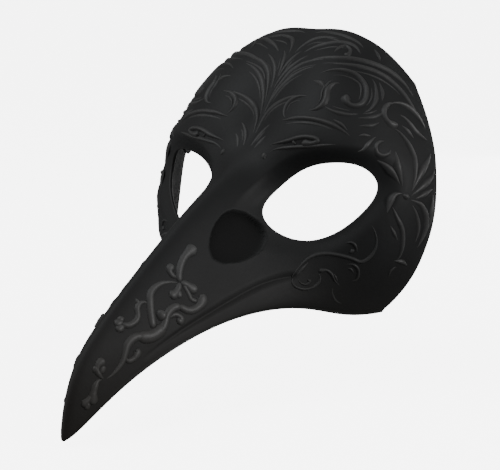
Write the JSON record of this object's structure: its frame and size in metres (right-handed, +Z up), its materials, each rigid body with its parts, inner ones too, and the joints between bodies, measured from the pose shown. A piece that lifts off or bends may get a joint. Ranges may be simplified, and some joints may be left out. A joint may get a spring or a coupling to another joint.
{
  "type": "plague doctor mask",
  "caption": "Rigid half mask that covers forehead, eyes and cheeks and ends in a long down-curved beak, with raised scrollwork outside, foam pads and strap loops inside.",
  "frame": {"origin": "nasion point: where the ridge of the beak leaves the forehead between the eye holes", "axes": "+X to the wearer's left, +Y back towards the wearer's head, +Z up; the beak points along -Y and down"},
  "size_m": [0.1718, 0.2263, 0.1877],
  "materials": {
    "shell_plastic": "matte black, satin on the raised ornament",
    "anchor_plastic": "matte black",
    "screw_steel": "zinc plated",
    "pad_foam": "closed-cell foam with a fabric face"
  },
  "bodies": {
    "root": {"mask_shell": "shell_plastic", "strap_anchor_left": "anchor_plastic", "strap_anchor_right": "anchor_plastic", "anchor_screws": "screw_steel", "forehead_pad": "pad_foam", "nose_pad_left": "pad_foam", "nose_pad_right": "pad_foam", "cheek_pad_left": "pad_foam", "cheek_pad_right": "pad_foam"}
  },
  "joints": []
}
